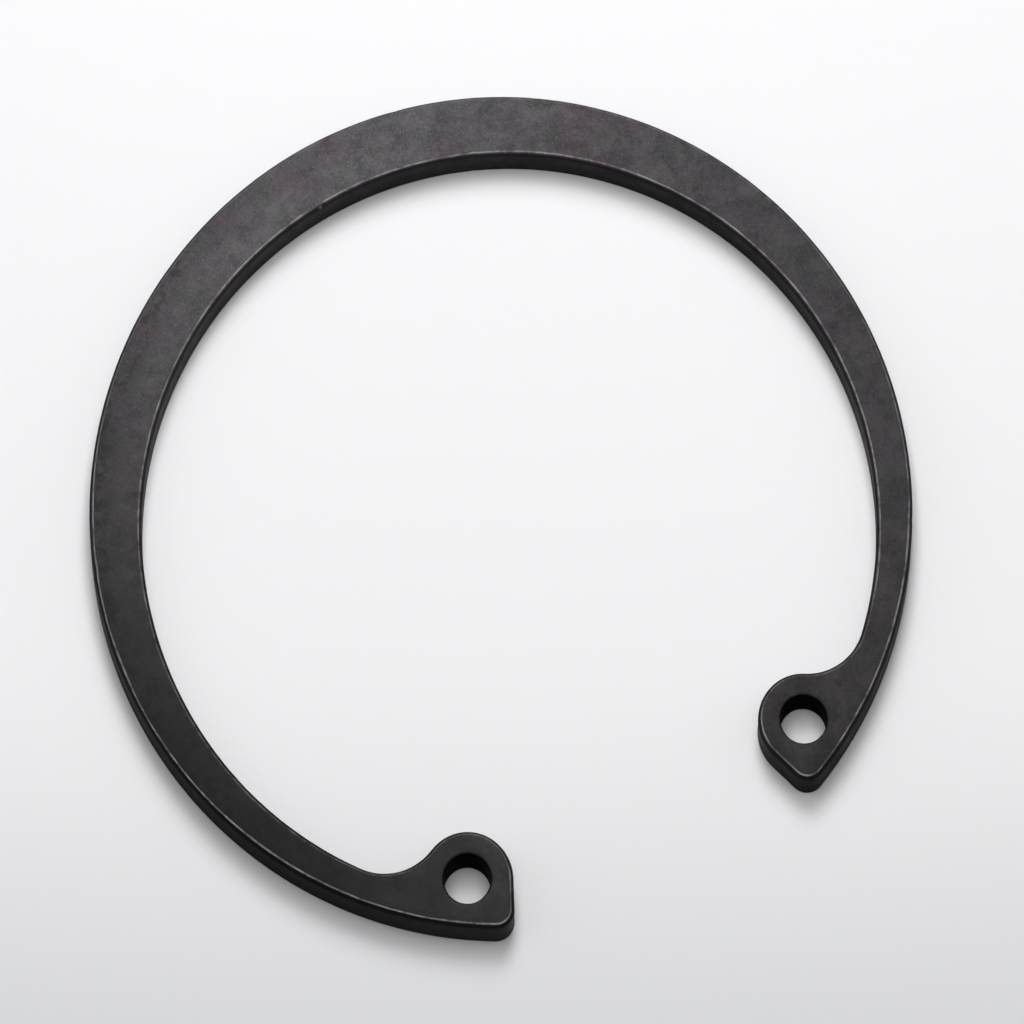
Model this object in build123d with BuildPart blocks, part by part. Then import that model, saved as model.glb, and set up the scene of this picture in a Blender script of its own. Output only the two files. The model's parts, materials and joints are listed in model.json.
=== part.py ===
from build123d import *
import math
import os

# Internal circlip (retaining ring for bores), 42 mm bore size, shown in its
# free, unsprung state. It is one stamping of hardened spring steel.
#
# Frame: underside on Z = 0, ring axis on Z, the gap between the lugs opens
# toward -Y, and the ring is mirror-symmetric about the YZ plane. The origin is
# the centre of the outer edge, on the underside.

# ---- driving dimensions, mm and degrees ---------------------------------
outer_d = 45.5          # free outside diameter for a 42 mm bore
thickness = 1.75        # strip thickness
inner_r = 20.27         # radius of the eccentric inner edge
inner_offset = 1.09     # its centre, moved from the ring's centre to the gap

hole_d = 2.5            # round plier holes
hole_pitch_r = 20.31    # hole centres, from the ring's centre
hole_angle = 29.5       # hole centres, from the gap's centre line

head_r = 2.48           # round nose of each lug, about its plier hole
blend_r = 3.2           # hollow blend from the nose into the inner edge
end_angle = 22.4        # lean of each end face from the gap's centre line
toe_r = 1.00            # rounded toe where the end face meets the outer edge

punch_side_r = 0.26     # rolled edge on the punch side, which faces up
die_side_r = 0.07       # broken burr on the die side, which faces down
hole_mouth_r = 0.14     # rolled mouth of the plier holes
hole_foot = 0.05        # broken burr at the foot of the plier holes

# ---- plan geometry of the right-hand lug --------------------------------
outer_r = outer_d / 2


def polar(radius, degrees):
    """Point at a radius from the ring's centre, at an angle from +X."""
    a = math.radians(degrees)
    return Vector(radius * math.cos(a), radius * math.sin(a), 0)


def circle_meet(c1, r1, c2, r2):
    """Both points where two circles in the plan cross."""
    span = c2 - c1
    d = span.length
    along = (r1 * r1 - r2 * r2 + d * d) / (2 * d)
    across = math.sqrt(r1 * r1 - along * along)
    u = span.normalized()
    v = Vector(-u.Y, u.X, 0)
    return [c1 + u * along + v * across, c1 + u * along - v * across]


centre = Vector(0, 0, 0)
inner_centre = Vector(0, -inner_offset, 0)
hole_centre = polar(hole_pitch_r, -90 + hole_angle)

# The end face is tangent to the nose and runs outward, leaning from the gap's
# centre line by end_angle. face_normal looks into the gap.
lean = math.radians(end_angle)
face_dir = Vector(math.sin(lean), -math.cos(lean), 0)
face_normal = Vector(-math.cos(lean), -math.sin(lean), 0)
face_top = hole_centre + face_normal * head_r

# The toe circle touches the end face and the outer edge from inside.
q = face_top - face_normal * toe_r
bq = q.dot(face_dir)
cq = q.dot(q) - (outer_r - toe_r) ** 2
run = -bq + math.sqrt(bq * bq - cq)
toe_centre = q + face_dir * run
face_foot = face_top + face_dir * run
toe_outer = toe_centre.normalized() * outer_r

# The hollow blend touches the nose from outside and the inner edge from inside.
meets = circle_meet(hole_centre, head_r + blend_r, inner_centre, inner_r - blend_r)
blend_centre = max(meets, key=lambda p: math.atan2(p.Y, p.X))
nose_end = hole_centre + (blend_centre - hole_centre).normalized() * head_r
blend_end = inner_centre + (blend_centre - inner_centre).normalized() * inner_r

# Middle points that fix each arc.
toe_mid = toe_centre + (
    (toe_outer - toe_centre).normalized() + (face_foot - toe_centre).normalized()
).normalized() * toe_r
# The nose turns through more than half a circle, away from the beam.
away = math.atan2(face_normal.Y, face_normal.X)
stop = math.atan2(nose_end.Y - hole_centre.Y, nose_end.X - hole_centre.X)
if away < stop:
    away += 2 * math.pi
nose_mid = hole_centre + Vector(
    math.cos((away + stop) / 2), math.sin((away + stop) / 2), 0
) * head_r
blend_mid = blend_centre + (
    (nose_end - blend_centre).normalized() + (blend_end - blend_centre).normalized()
).normalized() * blend_r
crown_outer = Vector(0, outer_r, 0)
crown_inner = inner_centre + Vector(0, inner_r, 0)
outer_mid = polar(outer_r, math.degrees(
    (math.pi / 2 + math.atan2(toe_outer.Y, toe_outer.X)) / 2))
sweep = (math.pi / 2 + math.atan2(blend_end.Y - inner_centre.Y, blend_end.X)) / 2
inner_mid = inner_centre + Vector(math.cos(sweep), math.sin(sweep), 0) * inner_r

# ---- the ring ------------------------------------------------------------
with BuildPart() as retaining_ring:
    with BuildSketch(Plane.XY) as half_plan:
        with BuildLine() as half_edge:
            ThreePointArc(crown_outer, outer_mid, toe_outer)
            ThreePointArc(toe_outer, toe_mid, face_foot)
            Line(face_foot, face_top)
            ThreePointArc(face_top, nose_mid, nose_end)
            ThreePointArc(nose_end, blend_mid, blend_end)
            ThreePointArc(blend_end, inner_mid, crown_inner)
            Line(crown_inner, crown_outer)
        make_face()
        mirror(about=Plane.YZ)
    extrude(amount=thickness)

    # Stamping rolls the edges on the punch side and leaves them crisper below.
    top_edges = retaining_ring.faces().sort_by(Axis.Z)[-1].outer_wire().edges()
    fillet(top_edges, radius=punch_side_r)
    foot_edges = retaining_ring.faces().sort_by(Axis.Z)[0].outer_wire().edges()
    fillet(foot_edges, radius=die_side_r)

    # Plier holes, right through each lug.
    with Locations(
        (hole_centre.X, hole_centre.Y, thickness),
        (-hole_centre.X, hole_centre.Y, thickness),
    ):
        Hole(radius=hole_d / 2, depth=thickness)
    mouths = (
        retaining_ring.faces().sort_by(Axis.Z)[-1].inner_wires().edges()
    )
    fillet(mouths, radius=hole_mouth_r)
    feet = retaining_ring.faces().sort_by(Axis.Z)[0].inner_wires().edges()
    chamfer(feet, length=hole_foot)

retaining_ring.part.label = "retaining_ring"

os.makedirs("parts", exist_ok=True)
export_step(retaining_ring.part, "parts/retaining_ring.step")
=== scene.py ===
import json
import math

import bmesh
import bpy
import numpy as np
from mathutils import Matrix, Vector, geometry, noise


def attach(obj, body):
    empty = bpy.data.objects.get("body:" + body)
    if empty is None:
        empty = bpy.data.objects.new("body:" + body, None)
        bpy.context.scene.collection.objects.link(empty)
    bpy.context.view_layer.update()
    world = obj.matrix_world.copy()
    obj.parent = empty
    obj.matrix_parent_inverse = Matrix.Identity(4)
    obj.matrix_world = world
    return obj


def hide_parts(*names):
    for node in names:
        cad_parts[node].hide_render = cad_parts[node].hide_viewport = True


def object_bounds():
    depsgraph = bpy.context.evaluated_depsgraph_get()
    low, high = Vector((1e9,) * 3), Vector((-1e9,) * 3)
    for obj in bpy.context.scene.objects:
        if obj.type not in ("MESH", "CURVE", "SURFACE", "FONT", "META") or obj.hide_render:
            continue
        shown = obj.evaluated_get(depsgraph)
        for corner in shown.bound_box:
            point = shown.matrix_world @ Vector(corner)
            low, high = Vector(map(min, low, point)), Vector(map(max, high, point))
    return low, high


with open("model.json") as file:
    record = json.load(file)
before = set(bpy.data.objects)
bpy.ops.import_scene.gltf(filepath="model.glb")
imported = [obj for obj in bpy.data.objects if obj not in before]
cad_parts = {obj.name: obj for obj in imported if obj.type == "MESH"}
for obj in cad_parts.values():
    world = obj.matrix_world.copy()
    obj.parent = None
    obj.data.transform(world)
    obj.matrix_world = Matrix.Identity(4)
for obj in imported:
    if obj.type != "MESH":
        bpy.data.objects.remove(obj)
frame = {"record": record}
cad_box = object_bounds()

MM = 0.001
# Finish of the steel: a matt grey-black phosphate coating, with a painted shade colour for its walls and a
# painted highlight colour for its rolled edges.
BASE_GREY = (0.0150, 0.0155, 0.0165)
BASE_PLUM = (0.0225, 0.0155, 0.0205)
BASE_GREEN = (0.0150, 0.0190, 0.0160)
BASE_PALE = (0.042, 0.038, 0.041)
BASE_DARK = (0.0025, 0.0025, 0.0030)
WALL_SHADE = (0.0072, 0.0061, 0.0077)
EDGE_HIGHLIGHT = (0.30, 0.28, 0.295)
BASE_GRAIN = (0.052, 0.048, 0.051)
BASE_SPECK = (0.40, 0.39, 0.38)
EDGE_HIGHLIGHT_AMOUNT, ROUGH, METAL, SPEC, BUMP = 0.75, 0.40, 0.0, 0.12, 0.000012

low, high = Vector(cad_box[0]), Vector(cad_box[1])
THICK = high.z - low.z
scene = bpy.context.scene


# ---------------------------------------------------------------- camera
# The view looks down on the ring 24.5 degrees off the vertical, from the side
# of the gap and a little to its left.
AZ, TILT, DIST = math.radians(-24.476), math.radians(24.521), 0.52869
FOCAL_PX, U0, V0 = 9569.6, 500.94, 496.10
SQUARE = math.radians(25.948)   # the picture plane leans back by this much

el = math.pi / 2 - TILT
back = Vector((math.sin(AZ) * math.cos(el), -math.cos(AZ) * math.cos(el), math.sin(el)))
right = Vector((math.cos(AZ), math.sin(AZ), 0.0))
up = back.cross(right)
px = DIST / FOCAL_PX
aim = Vector((0.0, 0.0, high.z)) + right * (512 - U0) * px - up * (512 - V0) * px * math.cos(SQUARE)
eye = aim + back * DIST

cam_data = bpy.data.cameras.new("camera")
cam = bpy.data.objects.new("camera", cam_data)
scene.collection.objects.link(cam)
cam_data.sensor_width = 36.0
cam_data.lens = FOCAL_PX / 1024 * 36.0
cam_data.clip_start = 0.01
cam_data.clip_end = 50.0
cam_data.dof.use_dof = False
up_leaned = up * math.cos(SQUARE) + back * math.sin(SQUARE)
basis = Matrix((
    (right.x, up_leaned.x, back.x, 0.0),
    (right.y, up_leaned.y, back.y, 0.0),
    (right.z, up_leaned.z, back.z, 0.0),
    (0.0, 0.0, 0.0, 1.0),
))
rig = bpy.data.objects.new("camera_rig", None)
scene.collection.objects.link(rig)
rig.location = eye
cam.parent = rig
cam.matrix_parent_inverse = basis
scene.camera = cam


# ---------------------------------------------------------------- stage
def material(name):
    m = bpy.data.materials.new(name)
    m.use_nodes = True
    m.node_tree.nodes.clear()
    return m, m.node_tree.nodes, m.node_tree.links


m, nodes, links = material("pale_table")
out = nodes.new("ShaderNodeOutputMaterial")
bsdf = nodes.new("ShaderNodeBsdfPrincipled")
bsdf.inputs["Base Color"].default_value = (0.80, 0.80, 0.81, 1)
bsdf.inputs["Roughness"].default_value = 0.6
bsdf.inputs["Specular IOR Level"].default_value = 0.2
# Painted shade: the table's colour is darker towards the near side, 6 to 34 mm in front of the ring's centre,
# where less light reaches it.
where = nodes.new("ShaderNodeTexCoord")
along = nodes.new("ShaderNodeVectorMath")
along.operation = "DOT_PRODUCT"
along.inputs[1].default_value = (-math.sin(AZ), math.cos(AZ), 0.0)
links.new(where.outputs["Object"], along.inputs[0])
near_side_shade = nodes.new("ShaderNodeMapRange")
near_side_shade.interpolation_type = "SMOOTHSTEP"
near_side_shade.inputs["From Min"].default_value = -0.034
near_side_shade.inputs["From Max"].default_value = -0.006
links.new(along.outputs["Value"], near_side_shade.inputs["Value"])
floor_shade_mix = nodes.new("ShaderNodeMix")
floor_shade_mix.data_type = "RGBA"
floor_shade_mix.inputs[6].default_value = (0.655, 0.66, 0.67, 1)
floor_shade_mix.inputs[7].default_value = (0.815, 0.815, 0.828, 1)
links.new(near_side_shade.outputs[0], floor_shade_mix.inputs["Factor"])
links.new(floor_shade_mix.outputs[2], bsdf.inputs["Base Color"])
# Painted light: as the camera sees it, the table glows more the farther it is from the ring's centre.
away = nodes.new("ShaderNodeVectorMath")
away.operation = "LENGTH"
links.new(where.outputs["Object"], away.inputs[0])
fade = nodes.new("ShaderNodeMapRange")
fade.interpolation_type = "SMOOTHSTEP"
fade.inputs["From Min"].default_value = 0.05
fade.inputs["From Max"].default_value = 0.28
fade.inputs["To Max"].default_value = 0.84
links.new(away.outputs["Value"], fade.inputs["Value"])
seen = nodes.new("ShaderNodeLightPath")
glow = nodes.new("ShaderNodeMath")
glow.operation = "MULTIPLY"
links.new(fade.outputs[0], glow.inputs[0])
links.new(seen.outputs["Is Camera Ray"], glow.inputs[1])
bsdf.inputs["Emission Color"].default_value = (1, 1, 1, 1)
links.new(glow.outputs[0], bsdf.inputs["Emission Strength"])
links.new(bsdf.outputs[0], out.inputs[0])
s = 3.0
mesh = bpy.data.meshes.new("floor")
mesh.from_pydata([(-s, -s, 0), (s, -s, 0), (s, s, 0), (-s, s, 0)], [], [(0, 1, 2, 3)])
floor = bpy.data.objects.new("floor", mesh)
floor.location.z = low.z - 0.000005
scene.collection.objects.link(floor)
mesh.materials.append(m)


def area(name, where, aim_at, size, power, color=(1, 1, 1)):
    data = bpy.data.lights.new(name, "AREA")
    data.shape = "RECTANGLE"
    data.size, data.size_y = size
    data.energy = power
    data.color = color
    o = bpy.data.objects.new(name, data)
    o.location = where
    d = Vector(aim_at) - Vector(where)
    o.rotation_euler = d.to_track_quat("-Z", "Y").to_euler()
    scene.collection.objects.link(o)
    return o


# Directions on the table as the camera sees them.
far = Vector((-math.sin(AZ), math.cos(AZ), 0))
side = right


def spot(r, f, z):
    return side * r + far * f + Vector((0, 0, z))


for name, (r, f, z), size, power in (
    ("softbox_top", (0.00, 0.00, 0.60), (0.50, 0.50), 1.66),
    ("softbox_low_far", (0.00, 0.15, 0.19), (0.12, 0.12), 0.29),
    ("softbox_low_top", (0.00, 0.10, 0.19), (0.10, 0.10), 0.10),
    ("softbox_left", (-0.45, 0.00, 0.30), (0.40, 0.40), 0.46),
    ("softbox_right", (0.45, 0.00, 0.30), (0.40, 0.40), 0.33),
    ("softbox_front", (0.00, -0.45, 0.30), (0.40, 0.40), 0.06),
):
    area(name, spot(r, f, z), (0, 0, 0), size, power).visible_camera = False

# The table and the wall behind it stay pale as far as they are seen.
world = bpy.data.worlds.new("world")
scene.world = world
world.use_nodes = True
wn, wl = world.node_tree.nodes, world.node_tree.links
path = wn.new("ShaderNodeLightPath")
strength = wn.new("ShaderNodeMapRange")
strength.inputs["To Min"].default_value = 0.02
strength.inputs["To Max"].default_value = 0.86
wl.new(path.outputs["Is Camera Ray"], strength.inputs["Value"])
wn["Background"].inputs[0].default_value = (1.0, 1.0, 1.0, 1)
wl.new(strength.outputs[0], wn["Background"].inputs[1])
scene.view_settings.view_transform = "Standard"
scene.view_settings.look = "None"

# ---------------------------------------------------------------- the ring
# Plan of the stamping, in mm, as in the CAD model. The outer radius and the
# thickness come from the frame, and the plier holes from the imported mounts.
R = (high.x - low.x) / 2 / MM
T = THICK / MM
MOUNTS = {m["name"]: m for m in frame["record"]["mounts"]}
HOLE = MOUNTS["plier_hole_right"]
HX, HY = HOLE["pos_m"][0] / MM, HOLE["pos_m"][1] / MM
HOLE_R = HOLE["dims"]["r_mm"]
INNER_R, INNER_Y = 20.27, -1.09
NOSE_R, BLEND_R, TOE_R = 2.48, 3.2, 1.0
LEAN = math.radians(22.4)
PUNCH_R, DIE_R, MOUTH_R, FOOT = 0.26, 0.07, 0.14, 0.05
STEP = 0.15


def half_outline():
    """Points and outward normals of the right half, from the crown's outside round the lug to its inside."""
    d = (math.sin(LEAN), -math.cos(LEAN))
    n = (-math.cos(LEAN), -math.sin(LEAN))
    top = (HX + NOSE_R * n[0], HY + NOSE_R * n[1])
    q = (top[0] - TOE_R * n[0], top[1] - TOE_R * n[1])
    b = q[0] * d[0] + q[1] * d[1]
    c = q[0] ** 2 + q[1] ** 2 - (R - TOE_R) ** 2
    run = -b + math.sqrt(b * b - c)
    toe = (q[0] + run * d[0], q[1] + run * d[1])
    r1, r2 = NOSE_R + BLEND_R, INNER_R - BLEND_R
    vx, vy = -HX, INNER_Y - HY
    L = math.hypot(vx, vy)
    ex, ey = vx / L, vy / L
    along = (r1 * r1 - r2 * r2 + L * L) / (2 * L)
    across = math.sqrt(r1 * r1 - along * along)
    both = [(HX + along * ex - k * across * ey, HY + along * ey + k * across * ex) for k in (1, -1)]
    bl = max(both, key=lambda p: math.atan2(p[1], p[0]))
    nose_end = (HX + (bl[0] - HX) * NOSE_R / r1, HY + (bl[1] - HY) * NOSE_R / r1)
    bx, by = bl[0], bl[1] - INNER_Y
    k = INNER_R / math.hypot(bx, by)
    blend_end = (bx * k, INNER_Y + by * k)
    pts = []

    def arc(cx, cy, r, a0, a1, sign):
        m = max(int(abs(a1 - a0) * r / STEP), 8)
        for i in range(m):
            t = a0 + (a1 - a0) * i / m
            pts.append(((cx + r * math.cos(t), cy + r * math.sin(t)), (sign * math.cos(t), sign * math.sin(t))))

    a_toe = math.atan2(toe[1], toe[0])
    a_n = math.atan2(n[1], n[0])
    if a_n > a_toe:
        a_n -= 2 * math.pi
    arc(0, 0, R, math.pi / 2, a_toe, 1)
    arc(toe[0], toe[1], TOE_R, a_toe, a_n, 1)
    m = max(int(run / STEP), 4)
    for i in range(m):
        t = run * (1 - i / m)
        pts.append(((top[0] + t * d[0], top[1] + t * d[1]), n))
    a_e = math.atan2(nose_end[1] - HY, nose_end[0] - HX)
    while a_e > a_n:
        a_e -= 2 * math.pi
    arc(HX, HY, NOSE_R, a_n, a_e, 1)
    b0 = math.atan2(nose_end[1] - bl[1], nose_end[0] - bl[0])
    b1 = math.atan2(blend_end[1] - bl[1], blend_end[0] - bl[0])
    while b1 < b0:
        b1 += 2 * math.pi
    arc(bl[0], bl[1], BLEND_R, b0, b1, -1)
    a_i = math.atan2(blend_end[1] - INNER_Y, blend_end[0])
    arc(0, INNER_Y, INNER_R, a_i, math.pi / 2, -1)
    pts.append(((0.0, INNER_Y + INNER_R), (0.0, -1.0)))
    return pts


half = half_outline()
# Clockwise seen from above: right half, then the left half back to the start.
loop = half + [((-p[0], p[1]), (-n[0], n[1])) for p, n in reversed(half[1:-1])]
COUNT = len(loop)


def wob(x, y, z, scale, seed):
    """Smooth repeatable noise, about -1 to 1, scale in mm."""
    return noise.noise(Vector((x / scale + seed, y / scale - seed, z / scale + 0.37 * seed)))


# Small damage: place on the edge (x, y), depth into the part and reach, in mm.
NICKS = (
    (-17.05, -8.2, 0.050, 0.30), (-14.9, -9.9, 0.035, 0.22), (19.2, 6.9, -0.030, 0.20),
    (-21.9, 5.6, 0.045, 0.22), (20.1, -10.4, 0.040, 0.20), (3.5, 22.3, 0.035, 0.25),
    (12.1, -19.1, 0.040, 0.18), (-8.6, -18.9, 0.030, 0.15), (6.5, 18.1, 0.030, 0.22),
)
verts, faces = [], []
rows = []
PROFILE = []          # (inset, height, how rough the row is, whether it is on the punch edge)
for i in range(4):
    a = math.pi / 2 * i / 3
    PROFILE.append((DIE_R * (1 - math.sin(a)), DIE_R * (1 - math.cos(a)), 0.3, 0))
WALL_TOP = T - PUNCH_R
for i in range(1, 8):
    z = DIE_R + (WALL_TOP - DIE_R) * i / 8
    PROFILE.append((0.0, z, 1.0 if z < 0.62 * T else 0.35, 0))
for i in range(10):
    a = math.pi / 2 * i / 9
    PROFILE.append((PUNCH_R * (1 - math.cos(a)), WALL_TOP + PUNCH_R * math.sin(a), 0.5, 1))
for inset, z, rough, punch in PROFILE:
    row = []
    for (px_, py_), (nx, ny) in loop:
        e = inset
        if punch:
            # The rolled edge is a little wider in some places than in others.
            e *= 1 + 0.16 * wob(px_, py_, 0, 3.1, 4) + 0.07 * wob(px_, py_, 0, 0.7, 9)
        e += 0.009 * rough * (1 + wob(px_, py_, z, 1.1, 2)) * (0.6 + 0.4 * (z > DIE_R))
        e += 0.004 * rough * (1 + wob(px_, py_, z, 0.32, 6))
        for cx, cy, deep, reach in NICKS:
            q = ((px_ - cx) ** 2 + (py_ - cy) ** 2) / reach ** 2
            if q < 9:
                e += max(deep, -0.0) * math.exp(-q) * (0.35 + 0.65 * (z > 0.7 * T))
        row.append(len(verts))
        verts.append((px_ - nx * e, py_ - ny * e, z))
    rows.append(row)
for a, b in zip(rows, rows[1:]):
    for i in range(COUNT):
        j = (i + 1) % COUNT
        faces.append((a[j], a[i], b[i], b[j]))

# Plier holes.
HSEG = 96
HPROFILE = [(FOOT, 0.0), (0.0, FOOT)]
for i in range(1, 5):
    HPROFILE.append((0.0, FOOT + (T - MOUTH_R - FOOT) * i / 5))
for i in range(8):
    a = math.pi / 2 * i / 7
    HPROFILE.append((MOUTH_R * (1 - math.cos(a)), T - MOUTH_R + MOUTH_R * math.sin(a)))
hole_rows = []
for sx in (1, -1):
    mine = []
    for grow, z in HPROFILE:
        row = []
        for i in range(HSEG):
            t = 2 * math.pi * i / HSEG
            x, y = sx * HX + HOLE_R * math.cos(t), HY + HOLE_R * math.sin(t)
            g = grow * (1 + 0.18 * wob(x, y, 0, 0.8, 3)) + 0.006 * wob(x, y, z, 0.5, 5) * (0 < z < T)
            row.append(len(verts))
            verts.append((sx * HX + (HOLE_R + g) * math.cos(t), HY + (HOLE_R + g) * math.sin(t), z))
        mine.append(row)
    hole_rows.append(mine)
    for a, b in zip(mine, mine[1:]):
        for i in range(HSEG):
            j = (i + 1) % HSEG
            faces.append((a[i], a[j], b[j], b[i]))


def inside(xs, ys, ring):
    """Whether each point is inside a closed ring of vertices."""
    px1 = np.array([verts[v][0] for v in ring])
    py1 = np.array([verts[v][1] for v in ring])
    px2, py2 = np.roll(px1, -1), np.roll(py1, -1)
    hit = np.zeros(len(xs), bool)
    for x1, y1, x2, y2 in zip(px1, py1, px2, py2):
        cross = (y1 > ys) != (y2 > ys)
        if cross.any():
            at = (x2 - x1) * (ys - y1) / (y2 - y1 + 1e-15) + x1
            hit ^= cross & (xs < at)
    return hit


def flat(rings, z, upward):
    """A face with holes between the rings, with points inside so that it can be very slightly uneven."""
    known = [v for ring in rings for v in ring]
    coords = [Vector(verts[v][:2]) for v in known]
    edges, at = [], 0
    for ring in rings:
        edges += [(at + i, at + (i + 1) % len(ring)) for i in range(len(ring))]
        at += len(ring)
    g = 0.42
    gx, gy = np.meshgrid(np.arange(-R, R, g), np.arange(-R, R, g * 0.866))
    gx = gx + (np.arange(gx.shape[0]) % 2)[:, None] * g / 2
    gx, gy = gx.ravel(), gy.ravel()
    ok = inside(gx, gy, rings[0])
    for ring in rings[1:]:
        ok &= ~inside(gx, gy, ring)
    gx, gy = gx[ok], gy[ok]
    bx = np.array([c.x for c in coords])
    by = np.array([c.y for c in coords])
    keep = [np.min((bx - x) ** 2 + (by - y) ** 2) > 0.16 ** 2 for x, y in zip(gx, gy)]
    gx, gy = gx[keep], gy[keep]
    allc = coords + [Vector((x, y)) for x, y in zip(gx, gy)]
    out_v, _, out_f, orig, _, _ = geometry.delaunay_2d_cdt(allc, edges, [], 0, 1e-7)
    ids = {}
    for i, src in enumerate(orig):
        first = min(src) if src else None
        if first is not None and first < len(known):
            ids[i] = known[first]
        else:
            x, y = out_v[i]
            ids[i] = len(verts)
            verts.append((x, y, z + (0.004 * wob(x, y, 0, 2.6, 8) - 0.004 if upward else 0.0)))
    cx = np.array([sum(out_v[v].x for v in f) / len(f) for f in out_f])
    cy = np.array([sum(out_v[v].y for v in f) / len(f) for f in out_f])
    ok = inside(cx, cy, rings[0])
    for ring in rings[1:]:
        ok &= ~inside(cx, cy, ring)
    for f, good in zip(out_f, ok):
        if not good:
            continue
        f = [ids[v] for v in f]
        (x0, y0), (x1, y1), (x2, y2) = (verts[v][:2] for v in f[:3])
        ccw = (x1 - x0) * (y2 - y0) - (x2 - x0) * (y1 - y0) > 0
        faces.append(tuple(f if ccw == upward else reversed(f)))


flat([rows[-1], hole_rows[0][-1], hole_rows[1][-1]], T, True)
flat([rows[0], hole_rows[0][0], hole_rows[1][0]], 0.0, False)

mesh = bpy.data.meshes.new("circlip_body")
mesh.from_pydata([(x * MM, y * MM, low.z + z * MM) for x, y, z in verts], [], faces)
mesh.validate()
mesh.update()
for poly in mesh.polygons:
    poly.use_smooth = True
ring = bpy.data.objects.new("circlip_body", mesh)
scene.collection.objects.link(ring)
bm = bmesh.new()
bm.from_mesh(mesh)
# The fill can leave a flat sliver just outside the outline: take it away.
slivers = [f for f in bm.faces if f.calc_area() < 1e-12 and any(len(e.link_faces) == 1 for e in f.edges)]
sliver_count = len(slivers)
bmesh.ops.delete(bm, geom=slivers, context="FACES")
bmesh.ops.recalc_face_normals(bm, faces=bm.faces)
open_edges = sum(len(e.link_faces) != 2 for e in bm.edges)
bm.to_mesh(mesh)
bm.free()
print("ring mesh", len(mesh.vertices), "vertices", len(mesh.polygons), "faces", open_edges, "edges not shared by two faces", sliver_count, "slivers removed")
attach(ring, "root")
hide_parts("retaining_ring")

# ---------------------------------------------------------------- steel
m, nodes, links = material("spring_steel_phosphate")
out = nodes.new("ShaderNodeOutputMaterial")
bsdf = nodes.new("ShaderNodeBsdfPrincipled")
links.new(bsdf.outputs[0], out.inputs[0])
coord = nodes.new("ShaderNodeTexCoord")


def node(kind, **props):
    n = nodes.new(kind)
    for k, v in props.items():
        setattr(n, k, v)
    return n


def noise_tex(scale, detail=3.0, rough=0.55, shift=(0, 0, 0), distort=0.0):
    mp = node("ShaderNodeMapping")
    mp.inputs["Location"].default_value = shift
    links.new(coord.outputs["Object"], mp.inputs["Vector"])
    t = node("ShaderNodeTexNoise")
    t.inputs["Scale"].default_value = scale
    t.inputs["Detail"].default_value = detail
    t.inputs["Roughness"].default_value = rough
    t.inputs["Distortion"].default_value = distort
    links.new(mp.outputs[0], t.inputs["Vector"])
    return t.outputs["Fac"]


def ramp(value, a, b, lo=0.0, hi=1.0):
    r = node("ShaderNodeMapRange", interpolation_type="SMOOTHSTEP")
    r.inputs["From Min"].default_value = a
    r.inputs["From Max"].default_value = b
    r.inputs["To Min"].default_value = lo
    r.inputs["To Max"].default_value = hi
    links.new(value, r.inputs["Value"])
    return r.outputs["Result"]


def ramp_lin(value, a, b, lo=0.0, hi=1.0):
    r = node("ShaderNodeMapRange", interpolation_type="LINEAR")
    r.inputs["From Min"].default_value = a
    r.inputs["From Max"].default_value = b
    r.inputs["To Min"].default_value = lo
    r.inputs["To Max"].default_value = hi
    links.new(value, r.inputs["Value"])
    return r.outputs["Result"]


def math_(op, a, b=None, clamp=False):
    n = node("ShaderNodeMath", operation=op, use_clamp=clamp)
    for i, v in enumerate((a, b)):
        if v is None:
            continue
        if isinstance(v, (int, float)):
            n.inputs[i].default_value = v
        else:
            links.new(v, n.inputs[i])
    return n.outputs[0]


def mix(fac, a, b, blend="MIX"):
    n = node("ShaderNodeMix", data_type="RGBA", blend_type=blend)
    for sock, v in ((n.inputs["Factor"], fac), (n.inputs[6], a), (n.inputs[7], b)):
        if isinstance(v, (int, float)):
            sock.default_value = v
        elif isinstance(v, tuple):
            sock.default_value = (*v, 1.0)
        else:
            links.new(v, sock)
    return n.outputs[2]


sep_n = node("ShaderNodeSeparateXYZ")
links.new(coord.outputs["Normal"], sep_n.inputs[0])
nz = sep_n.outputs["Z"]
sep_p = node("ShaderNodeSeparateXYZ")
links.new(coord.outputs["Object"], sep_p.inputs[0])
X, Y = sep_p.outputs["X"], sep_p.outputs["Y"]
radius = math_("SQRT", math_("ADD", math_("MULTIPLY", X, X), math_("MULTIPLY", Y, Y)))
wall = ramp(math_("ABSOLUTE", nz), 0.93, 0.55)
roll = math_("MULTIPLY", ramp(nz, 0.86, 0.95), ramp(nz, 0.998, 0.982))
# Distance from the nearer plier hole: its mouth gets no painted highlight, and its wall gets painted shade, a
# near-black colour.
hole_x = math_("SUBTRACT", math_("ABSOLUTE", X), 20.31 * math.sin(math.radians(29.5)) * MM)
hole_y = math_("ADD", Y, 20.31 * math.cos(math.radians(29.5)) * MM)
hole_r = math_("SQRT", math_("ADD", math_("MULTIPLY", hole_x, hole_x), math_("MULTIPLY", hole_y, hole_y)))
roll = math_("MULTIPLY", roll, ramp(hole_r, 1.5 * MM, 1.7 * MM))
bore_shade = ramp(hole_r, 1.30 * MM, 1.265 * MM)

blotch = noise_tex(260, 4, 0.6, (3, 1, 0), 0.4)
cloud = noise_tex(620, 4, 0.6, (7, 2, 1), 0.6)
fine = noise_tex(2100, 4, 0.65, (1, 5, 2))
grain = noise_tex(8200, 3, 0.7, (2, 2, 5))
tint = noise_tex(330, 3, 0.55, (11, 4, 3), 0.8)
tint2 = noise_tex(520, 3, 0.55, (5, 14, 8), 0.8)

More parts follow.
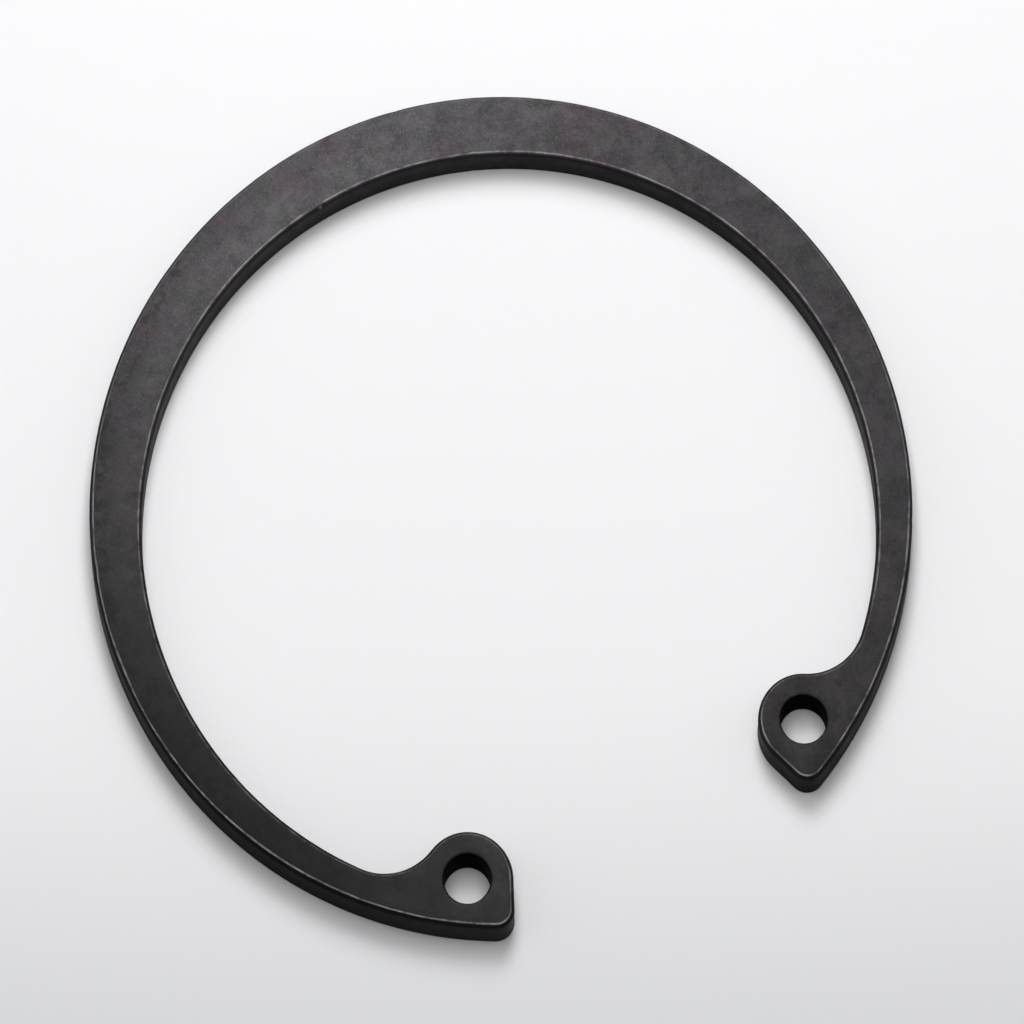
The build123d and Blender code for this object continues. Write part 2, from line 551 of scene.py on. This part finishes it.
base = mix(ramp(tint, 0.40, 0.62), BASE_GREY, BASE_PLUM)
base = mix(math_("MULTIPLY", ramp(tint2, 0.52, 0.72), 0.7), base, BASE_GREEN)
base = mix(ramp(cloud, 0.35, 0.72, 0.0, 0.55), base, BASE_PALE)
base = mix(ramp(fine, 0.30, 0.75, 0.0, 0.45), base, BASE_PALE)
base = mix(ramp(grain, 0.52, 0.74, 0.0, 0.85), base, BASE_GRAIN)
base = mix(ramp(grain, 0.46, 0.22, 0.0, 0.6), base, BASE_DARK)

# Painted light and shade: the coating's colour is paler at the crown and darker towards one lug, following how
# the light falls across the ring, with random blotches mixed in.
up_dir = math_("ADD", math_("MULTIPLY", X, 0.414 / (R * MM)), math_("MULTIPLY", Y, 0.910 / (R * MM)))
right_dir = math_("ADD", math_("MULTIPLY", X, 0.910 / (R * MM)), math_("MULTIPLY", Y, -0.414 / (R * MM)))
shade_and_blotch = math_("ADD", math_("MULTIPLY", up_dir, 0.5), math_("MULTIPLY", right_dir, 0.12))
# Painted light and shade by the angle round the ring, as stops in degrees; the same curve also scales the
# specular level.
turn = math_("ADD", math_("MULTIPLY", math_("ARCTAN2", X, Y), 1 / (2 * math.pi)), 0.5)
painted_shade_round = node("ShaderNodeValToRGB")
painted_shade_round.color_ramp.interpolation = "B_SPLINE"
stops = ((-180, 1.0), (-147, 1.05), (-133, 0.70), (-112, 0.55), (-79, 0.90), (-64, 0.92), (-31, 1.20),
         (7, 1.0), (26, 0.88), (45, 0.72), (88, 0.55), (113, 0.76), (142, 0.72), (155, 0.70), (180, 0.75))
elems = painted_shade_round.color_ramp.elements
while len(elems) < len(stops):
    elems.new(0.5)
for e, (a_deg, v) in zip(elems, stops):
    e.position = a_deg / 360 + 0.5
for e, (a_deg, v) in zip(elems, stops):
    e.color = (v / 1.25, v / 1.25, v / 1.25, 1)
links.new(turn, painted_shade_round.inputs["Fac"])
shade_and_blotch = math_("ADD", shade_and_blotch, 0.5)
shade_and_blotch = math_("ADD", shade_and_blotch, math_("MULTIPLY", math_("SUBTRACT", blotch, 0.5), 0.45))
shade_and_blotch = ramp_lin(shade_and_blotch, 0.0, 1.0, 0.25, 2.35)
shade_and_blotch = math_("MULTIPLY", shade_and_blotch, math_("MULTIPLY", painted_shade_round.outputs["Color"], 1.16))
shade_scaled = node("ShaderNodeVectorMath", operation="SCALE")
links.new(base, shade_scaled.inputs[0])
links.new(shade_and_blotch, shade_scaled.inputs["Scale"])
base = shade_scaled.outputs[0]

# Dark mottled patches that follow the outer rim, strongest on one side, and more patches towards the lugs:
# partly staining, partly painted shade where less light falls.
side_dir = math_("ADD", math_("MULTIPLY", X, -0.97 / (R * MM)), math_("MULTIPLY", Y, 0.25 / (R * MM)))
stain_and_shade_where = math_("MULTIPLY", ramp(radius, 0.91 * R * MM, 0.985 * R * MM), ramp(side_dir, 0.15, 0.85))
stain_and_shade = math_("MULTIPLY", ramp(math_("ADD", math_("MULTIPLY", cloud, 0.5), math_("MULTIPLY", fine, 0.5)), 0.44, 0.60), stain_and_shade_where)
low_stain_and_shade = math_("MULTIPLY", ramp(fine, 0.50, 0.66, 0.0, 0.5), ramp(Y, 0.002, -0.016))
stain_and_shade = math_("MAXIMUM", stain_and_shade, low_stain_and_shade)
base = mix(math_("MULTIPLY", stain_and_shade, 0.85), base, BASE_DARK)
# Painted shade: the walls get a darker colour than the faces.
base = mix(math_("MULTIPLY", wall, 0.85), base, WALL_SHADE)

# Painted highlight along the rolled edge, broken in patches.
edge_highlight = math_("MULTIPLY", roll, ramp(math_("ADD", math_("MULTIPLY", cloud, 0.55), math_("MULTIPLY", fine, 0.45)), 0.40, 0.60, 0.22, 1.0))
# The painted highlight is stronger on edges that face the near side than on those that face away.
faces_near_side = math_("MULTIPLY", math_("ADD", math_("MULTIPLY", sep_n.outputs["X"], 0.414), math_("MULTIPLY", sep_n.outputs["Y"], 0.910)), -1.0)
edge_highlight = math_("MULTIPLY", edge_highlight, ramp(faces_near_side, -0.16, 0.08, 0.30, 1.0))
base = mix(math_("MULTIPLY", edge_highlight, EDGE_HIGHLIGHT_AMOUNT), base, EDGE_HIGHLIGHT)

# A few specks of dust and bare metal.
vor = node("ShaderNodeTexVoronoi", feature="F1")
vor.inputs["Scale"].default_value = 420.0
links.new(coord.outputs["Object"], vor.inputs["Vector"])
sep_v = node("ShaderNodeSeparateColor")
links.new(vor.outputs["Color"], sep_v.inputs[0])
speck = math_("MULTIPLY", ramp(vor.outputs["Distance"], 0.060, 0.025), ramp(sep_v.outputs[0], 0.90, 0.93))
base = mix(math_("MULTIPLY", speck, 0.8), base, BASE_SPECK)
# Painted shade: the plier hole's wall is near-black.
base = mix(bore_shade, base, (0.0004, 0.0004, 0.0004))
links.new(base, bsdf.inputs["Base Color"])

rough = math_("ADD", ramp(cloud, 0.30, 0.72, ROUGH + 0.06, ROUGH - 0.05), ramp(fine, 0.3, 0.75, 0.03, -0.03))
rough = math_("ADD", rough, math_("MULTIPLY", stain_and_shade, 0.10))
rough = math_("SUBTRACT", rough, math_("MULTIPLY", edge_highlight, 0.10))
rough = math_("ADD", rough, math_("MULTIPLY", wall, 0.12), clamp=True)
links.new(rough, bsdf.inputs["Roughness"])
bsdf.inputs["Metallic"].default_value = METAL
gloss = math_("MULTIPLY", painted_shade_round.outputs["Color"], 1.25 * SPEC)
gloss = math_("MULTIPLY", gloss, ramp_lin(bore_shade, 0.0, 1.0, 1.0, 0.1))
gloss = math_("MULTIPLY", gloss, ramp_lin(wall, 0.0, 1.0, 1.0, 0.65))
gloss = math_("MULTIPLY", gloss, ramp_lin(edge_highlight, 0.0, 1.0, 1.0, 2.2))
links.new(gloss, bsdf.inputs["Specular IOR Level"])

height = math_("ADD", math_("MULTIPLY", grain, 0.55), math_("MULTIPLY", fine, 0.9))
height = math_("ADD", height, math_("MULTIPLY", cloud, 1.1))
bump = node("ShaderNodeBump")
bump.inputs["Strength"].default_value = 1.0
bump.inputs["Distance"].default_value = BUMP
links.new(height, bump.inputs["Height"])
links.new(bump.outputs[0], bsdf.inputs["Normal"])
mesh.materials.append(m)
